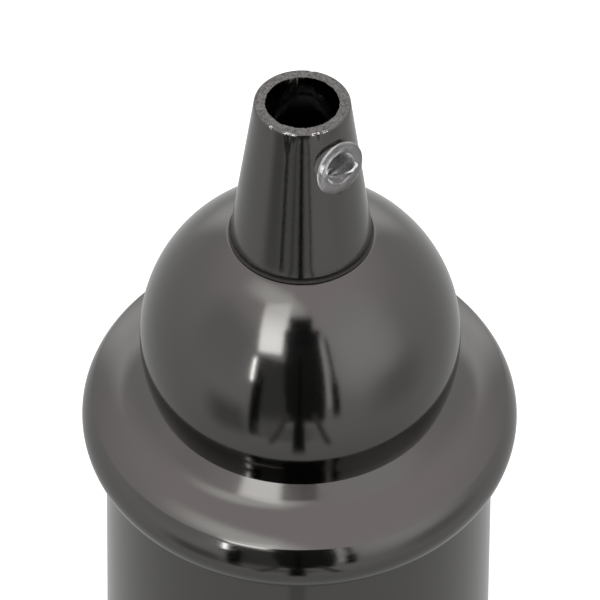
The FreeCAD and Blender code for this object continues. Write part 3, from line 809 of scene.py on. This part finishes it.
makePorcelain(porcelain)
makeScrewShell(screwShell)
makeRing("insulatingDiscPunched", "insulating_disc", pressedBoard, hole=4.6, soft=0.1)
makeCentreContact(centreContact)
makeContactSpring(contactSpring)
makeRivets(rivets)
makeSpringSeat(springSeat)
print("lamp insert made")

threadedTube = {
    "radius": 4.95,
    "bore": 3.8,
    "boreRounding": 0.3,
    "pitch": 1.0,
    "depth": 0.52,
    "runOut": 0.6,
}


def makeThreadedTube(look):
    low, high = tubeLow.z, tubeHigh.z
    bore = [(look["bore"], level, look["boreRounding"]) for level in (high, low)]
    bm = turned(bore + straight(look["radius"], low, high, step=0.125), steps=90)
    pressThread(bm, look["radius"], look["pitch"], look["depth"], low - 0.01, high + 0.01, look["runOut"])
    finished("tubeThreaded", bm, "threaded_tube", zincPlate, sharp=50)


tubeNut = {
    "boreRadius": 5.0,
    "countersink": 0.5,
    "chamfer": 0.45,       # of the corners, above and below
    "chamferIn": 0.15,     # how far inside the flats it starts
}


def makeTubeNut(look):
    low, high = inMm("tube_nut")
    corner, flats = high.x, high.y
    bm = bmesh.new()
    bmesh.ops.create_circle(bm, cap_ends=True, segments=6, radius=corner * mm)
    bmesh.ops.rotate(bm, cent=(0, 0, 0), matrix=Matrix.Rotation(math.radians(30), 3, "Z"), verts=bm.verts)
    bmesh.ops.translate(bm, vec=(0, 0, low.z * mm), verts=bm.verts)
    raised = bmesh.ops.extrude_face_region(bm, geom=bm.faces[:])["geom"]
    upper = [v for v in raised if isinstance(v, bmesh.types.BMVert)]
    bmesh.ops.translate(bm, vec=(0, 0, (high.z - low.z) * mm), verts=upper)
    bmesh.ops.recalc_face_normals(bm, faces=bm.faces)
    chamfer, face, past = look["chamfer"], flats - look["chamferIn"], corner + 0.05
    body = turned([(0, low.z), (face, low.z), (past, low.z + chamfer), (past, high.z - chamfer),
                   (face, high.z), (0, high.z)], steps=120)
    bm = boolean(bm, body, "INTERSECT")
    bore, sink = look["boreRadius"], look["countersink"]
    hole = turned([(0, low.z - 1), (bore + sink, low.z - 1), (bore + sink, low.z), (bore, low.z + sink),
                   (bore, high.z - sink), (bore + sink, high.z), (bore + sink, high.z + 1),
                   (0, high.z + 1)], steps=96)
    bm = boolean(bm, hole)
    finished("tubeNutHexagon", bm, "tube_nut", zincPlate, sharp=20)


tubeBush = {
    "bore": 3.2,
    "sleeve": 3.77,
    "flange": 1.0,
    "rounding": 0.3,       # where the cord's cores rub
    "flangeRounding": 0.15,
    "endRounding": 0.2,
}


def makeTubeBush(look):
    low, high = inMm("tube_bush")
    bore, sleeve, shoulder, end = look["bore"], look["sleeve"], low.z + look["flange"], look["endRounding"]
    outline = [(bore, low.z, look["rounding"]), (high.x, low.z, look["rounding"]),
               (high.x, shoulder, look["flangeRounding"]), (sleeve, shoulder),
               (sleeve, high.z, end), (bore, high.z, end)]
    finished("tubeBushMoulded", turned(outline, steps=96), "tube_bush", mouldedNylon)


makeThreadedTube(threadedTube)
makeTubeNut(tubeNut)
makeTubeBush(tubeBush)
makeRing("gripWasherPunched", "grip_washer", blackFibre, hole=5.15, soft=0.08, steps=192)
deburred("starWasherToothed", "star_washer", springWire, 0.1)
deburred("bracketBent", "bracket", zincPlate, 0.18)
deburred("grubScrewSlotted", "bracket_grub_screw", zincPlate, 0.06)
deburred("earthWasherPunched", "earth_washer", zincPlate, 0.1)
print("tube and bracket made")

slottedScrew = {
    "slotWide": 0.7,
    "slotDeep": 0.9,
    "threadDepth": 0.3,
    "tip": 0.3,
    "headRounding": 0.1,   # under the head
}
terminalScrew = dict(shank=1.5, length=4.2, head=2.6, tall=1.9, pitch=0.5, rounding=0.35)
terminalScrewTurn = 25.0
bracketScrew = dict(shank=1.5, length=9.0, head=2.75, tall=1.8, pitch=0.5, rounding=0.5)
bracketScrewTurns = ((-1, 14.0), (1, -37.0))  # side, how far its slot is turned
earthScrew = dict(shank=2.0, head=3.3, tall=2.4, pitch=0.7, rounding=0.5)


def makeSlottedScrew(shank, length, head, tall, pitch, rounding):
    # standing on z = 0 with its head upwards, slot along Y
    look = slottedScrew
    tipTop = look["tip"] - length
    outline = ([(0, -length), (shank - look["tip"], -length)] + straight(shank, tipTop, -0.15, step=0.07)
               + [(shank, 0), (head, 0, look["headRounding"]), (head, tall, rounding), (0, tall)])
    bm = turned(outline, steps=60)
    pressThread(bm, shank, pitch, look["threadDepth"], tipTop - 0.01, -0.1, 0.4)
    slot = bar(look["slotWide"], 2 * head + 2, tall - look["slotDeep"], tall + 1)
    return boolean(bm, slot)


def makeScrews():
    for side in ("live", "neutral"):
        low, high = inMm(side + "_terminal_screw")
        middle = (low + high) / 2
        under = (middle.x, middle.y, high.z - terminalScrew["tall"])
        bm = makeSlottedScrew(**terminalScrew)
        finished(side + "ScrewSlotted", bm, side + "_terminal_screw", zincPlate,
                 place=standing(under, spin=terminalScrewTurn))
    low, high = inMm("bracket_screws")
    pair = bmesh.new()
    for side, turn in bracketScrewTurns:
        bm = makeSlottedScrew(**bracketScrew)
        under = (side * (high.x - bracketScrew["head"]), 0, high.z - bracketScrew["tall"])
        bmesh.ops.transform(bm, matrix=standing(under, spin=turn), verts=bm.verts)
        join(pair, bm)
    finished("bracketScrewsSlotted", pair, "bracket_screws", zincPlate)
    low, high = inMm("earth_screw")
    middle = (low + high) / 2
    tall = earthScrew["tall"]
    bm = makeSlottedScrew(length=high.x - low.x - tall, **earthScrew)
    finished("earthScrewSlotted", bm, "earth_screw", zincPlate,
             place=standing((high.x - tall, middle.y, middle.z), (1, 0, 0)))


makeScrews()
for side in ("live", "neutral"):
    deburred(side + "StripPressed", side + "_strip", pressedBrass, 0.1)
    deburred(side + "TerminalSawn", side + "_terminal", pressedBrass, 0.18)
print("screws and terminals made")

ballCentre = Vector((0, 0, ballLevel)) * mm
studio = {
    # sine of height, brightness, tint
    "tent": [(-1.0, 0.46, "FFFFFF"), (-0.72, 0.56, "FFFFFF"), (-0.5, 0.68, "FFFFFF"), (0.0, 0.8, "FFFFFF"),
             (0.45, 0.94, "FFFBFC"), (0.9, 1.25, "FFF6F9")],
    "floorSize": 6.0,
    "cardDistance": 1.6,
    "cardStep": 0.02,      # from each card to the next one before it
}

# what stands round the object, seen from the ball's centre: bearing from the camera's side, height, width
# and depth in degrees, turn, brightness beside the tent's, and the soft share of its left, right, lower and
# upper edge; a later card hangs before an earlier one
fading = (0.45, 0.45, 0.45, 0.45)
studioCards = {
    "tent side, right": dict(bearing=50, height=28, wide=78, deep=84, glow=1.3, soft=fading),
    "tent side, left": dict(bearing=-64, height=22, wide=62, deep=62, glow=0.72,
                            soft=(0.45, 0.3, 0.45, 0.4)),
    "back wall, left": dict(bearing=-155, height=22, wide=34, deep=64, glow=1.7,
                            soft=(0.4, 0.4, 0.4, 0.4)),
    "back wall, right": dict(bearing=155, height=22, wide=34, deep=64, glow=1.7,
                             soft=(0.4, 0.4, 0.4, 0.4)),
    "shade, right": dict(bearing=67, height=-14, wide=56, deep=44, glow=0.55, soft=fading),
    "shade, left": dict(bearing=-48, height=-24, wide=36, deep=36, glow=0.33,
                        soft=(0.45, 0.3, 0.4, 0.45)),
    "softbox, upper": dict(bearing=-48, height=66, wide=56, deep=20, turn=-8, glow=2.2,
                           soft=(0.45, 0.3, 0.4, 0.45)),
    "softbox": dict(bearing=-30, height=53, wide=20, deep=50, turn=-12, glow=5.8,
                    soft=(0.14, 0.1, 0.08, 0.8)),
    "opening, left": dict(bearing=-20, height=-3, wide=23, deep=62, glow=0.19,
                          soft=(0.03, 0.05, 0.4, 0.06)),
    "opening, black edge": dict(bearing=-28, height=-6, wide=8.5, deep=60, turn=2, glow=0.01,
                                soft=(0.2, 0.25, 0.1, 0.15)),
    "opening": dict(bearing=3.2, height=15, wide=30, deep=74, glow=0.04, soft=(0.1, 0.06, 0.12, 0.2)),
    "rail above": dict(bearing=1, height=50, wide=18, deep=23, glow=0.01, soft=(0.15, 0.15, 0.1, 0.3)),
    "rail above, wide": dict(bearing=1.5, height=44, wide=28, deep=14, glow=0.02,
                             soft=(0.15, 0.15, 0.3, 0.25)),
    "grey strip": dict(bearing=18.7, height=18, wide=3.4, deep=60, glow=1.5,
                       soft=(0.2, 0.2, 0.2, 0.15)),
    "opening, right": dict(bearing=23.3, height=15, wide=3.4, deep=64, glow=0.15,
                           soft=(0.3, 0.3, 0.2, 0.2)),
    "opening, right, low": dict(bearing=23.3, height=-1, wide=6.5, deep=40, glow=0.01,
                                soft=(0.25, 0.3, 0.3, 0.4)),
    "pole": dict(bearing=0, height=2, wide=2.4, deep=66, glow=0.005, soft=(0.2, 0.2, 0.1, 0.1)),
    "sheet before the stand": dict(bearing=-8, height=-29, wide=44, deep=18, glow=0.42,
                                   soft=(0.3, 0.3, 0.3, 0.3)),
    "stand": dict(bearing=-0.3, height=-33, wide=7.5, deep=36, glow=0.01, soft=(0.15, 0.15, 0.3, 0.1)),
    "stand leg, left": dict(bearing=-12.5, height=-26, wide=5, deep=34, turn=22, glow=0.2,
                            soft=(0.35, 0.35, 0.2, 0.1)),
    "stand leg, right": dict(bearing=14, height=-26, wide=5, deep=34, turn=-19, glow=0.16,
                             soft=(0.35, 0.35, 0.2, 0.1)),
    "softbox edge": dict(bearing=-33.2, height=16, wide=1.7, deep=20, turn=-4, glow=17.0,
                         soft=(0.2, 0.2, 0.2, 0.2)),
}


def makeCard(name, order, look):
    # a glowing card that only reflections see
    bearing = math.radians(look["bearing"]) + cameraBearing
    height = math.radians(look["height"])
    level = math.cos(height)
    way = Vector((math.sin(bearing) * level, -math.cos(bearing) * level, math.sin(height)))
    distance = studio["cardDistance"] - studio["cardStep"] * order
    wide = 2 * distance * math.tan(math.radians(look["wide"]) / 2)
    deep = 2 * distance * math.tan(math.radians(look["deep"]) / 2)
    bm = bmesh.new()
    bmesh.ops.create_grid(bm, x_segments=1, y_segments=1, size=0.5)
    mesh = bpy.data.meshes.new(name)
    bm.to_mesh(mesh)
    bm.free()
    card = bpy.data.objects.new(name, mesh)
    bpy.context.scene.collection.objects.link(card)
    turn = Matrix.Rotation(math.radians(look.get("turn", 0)), 4, "Z")
    facing = (-way).to_track_quat("Z", "Y").to_matrix().to_4x4()
    card.matrix_world = (Matrix.Translation(ballCentre + way * distance) @ facing @ turn
                         @ Matrix.Diagonal((wide, deep, 1, 1)))
    material, tree, output = newMaterial(name)
    where = addNode(tree, "ShaderNodeTexCoord")
    parts = addNode(tree, "ShaderNodeSeparateXYZ", links={"Vector": where.outputs["Generated"]})
    mask = None
    left, right, lower, upper = look["soft"]
    for axis, edges in (("X", (right, left)), ("Y", (lower, upper))):
        other = addNode(tree, "ShaderNodeMath", {"operation": "SUBTRACT"}, links={1: parts.outputs[axis]})
        other.inputs[0].default_value = 1.0
        for away, soft in zip((parts.outputs[axis], other.outputs[0]), edges):
            fade = addNode(tree, "ShaderNodeMapRange", {"interpolation_type": "SMOOTHSTEP"},
                           links={"Value": away}, From_Max=soft)
            if mask:
                fade = addNode(tree, "ShaderNodeMath", {"operation": "MULTIPLY"},
                               links={0: mask.outputs[0], 1: fade.outputs[0]})
            mask = fade
    clear = addNode(tree, "ShaderNodeBsdfTransparent")
    glow = addNode(tree, "ShaderNodeEmission", Strength=look["glow"])
    mix = addNode(tree, "ShaderNodeMixShader",
                  links={0: mask.outputs[0], 1: clear.outputs[0], 2: glow.outputs[0]})
    tree.links.new(mix.outputs[0], output.inputs["Surface"])
    mesh.materials.append(material)
    card.visible_camera = False
    card.visible_diffuse = False
    card.visible_shadow = False
    card.visible_transmission = True


for order, (name, look) in enumerate(studioCards.items()):
    makeCard(name, order, look)


def makeTent():
    # white tent all round, brighter overhead; the camera sees plain white
    world = bpy.data.worlds.new("white tent")
    world.use_nodes = True
    tree = world.node_tree
    tree.nodes.clear()
    where = addNode(tree, "ShaderNodeTexCoord")
    parts = addNode(tree, "ShaderNodeSeparateXYZ", links={"Vector": where.outputs["Generated"]})
    ramp = addNode(tree, "ShaderNodeValToRGB")
    shifted = addNode(tree, "ShaderNodeMapRange", links={"Value": parts.outputs["Z"]})
    shifted.inputs["From Min"].default_value = -1.0
    tree.links.new(shifted.outputs["Result"], ramp.inputs["Fac"])
    stops = studio["tent"]
    while len(ramp.color_ramp.elements) < len(stops):
        ramp.color_ramp.elements.new(0.5)
    for element, (sine, glow, tint) in zip(ramp.color_ramp.elements, stops):
        element.position = (sine + 1) / 2
        element.color = [glow * channel for channel in hexToLinear(tint)[:3]] + [1]
    around = addNode(tree, "ShaderNodeBackground", links={"Color": ramp.outputs["Color"]})
    plain = addNode(tree, "ShaderNodeBackground")
    plain.inputs["Color"].default_value = (1, 1, 1, 1)
    ray = addNode(tree, "ShaderNodeLightPath")
    mix = addNode(tree, "ShaderNodeMixShader",
                  links={0: ray.outputs["Is Camera Ray"], 1: around.outputs[0], 2: plain.outputs[0]})
    output = tree.nodes.new("ShaderNodeOutputWorld")
    tree.links.new(mix.outputs[0], output.inputs["Surface"])
    bpy.context.scene.world = world


def makeFloor():
    # white sheet under the object, clear from below; reflections see the tent through it
    bm = bmesh.new()
    bmesh.ops.create_grid(bm, x_segments=1, y_segments=1, size=studio["floorSize"] / 2)
    bmesh.ops.translate(bm, vec=(0, 0, cupLow.z * mm), verts=bm.verts)
    mesh = bpy.data.meshes.new("floor")
    bm.to_mesh(mesh)
    bm.free()
    floor = bpy.data.objects.new("floor", mesh)
    bpy.context.scene.collection.objects.link(floor)
    material, tree, output = newMaterial("white paper sheet")
    paper = addNode(tree, "ShaderNodeBsdfDiffuse")
    paper.inputs["Color"].default_value = (0.8, 0.8, 0.8, 1)
    glow = addNode(tree, "ShaderNodeEmission", Strength=0.5)
    both = addNode(tree, "ShaderNodeAddShader", links={0: paper.outputs[0], 1: glow.outputs[0]})
    clear = addNode(tree, "ShaderNodeBsdfTransparent")
    geometry = addNode(tree, "ShaderNodeNewGeometry")
    mix = addNode(tree, "ShaderNodeMixShader",
                  links={0: geometry.outputs["Backfacing"], 1: both.outputs[0], 2: clear.outputs[0]})
    tree.links.new(mix.outputs[0], output.inputs["Surface"])
    mesh.materials.append(material)
    floor.visible_glossy = False


makeTent()
makeFloor()
bpy.context.scene.view_settings.view_transform = "Standard"
print("studio made")


view = {
    "distance": 19.11 * ballRadius * mm,
    "height": math.radians(46.21),
    "aim": 0.3056 * ballRadius * mm,  # above the ball's centre
    "lens": 186.26,
    "tilt": math.radians(0.523),
    "shift": -0.0009,
}


def makeCamera():
    data = bpy.data.cameras.new("camera")
    data.lens = view["lens"]
    data.sensor_width = 36
    data.shift_x = view["shift"]
    data.clip_start = 0.01
    camera = bpy.data.objects.new("camera", data)
    bpy.context.scene.collection.objects.link(camera)
    target = ballCentre + Vector((0, 0, view["aim"]))
    side = Vector((math.sin(cameraBearing), -math.cos(cameraBearing), 0))
    away = side * math.cos(view["height"]) + Vector((0, 0, math.sin(view["height"])))
    turn = away.to_track_quat("Z", "Y").to_matrix().to_4x4()
    tilt = Matrix.Rotation(view["tilt"], 4, "Z")
    camera.matrix_world = Matrix.Translation(target + away * view["distance"]) @ turn @ tilt
    bpy.context.scene.camera = camera


makeCamera()
print("camera made")
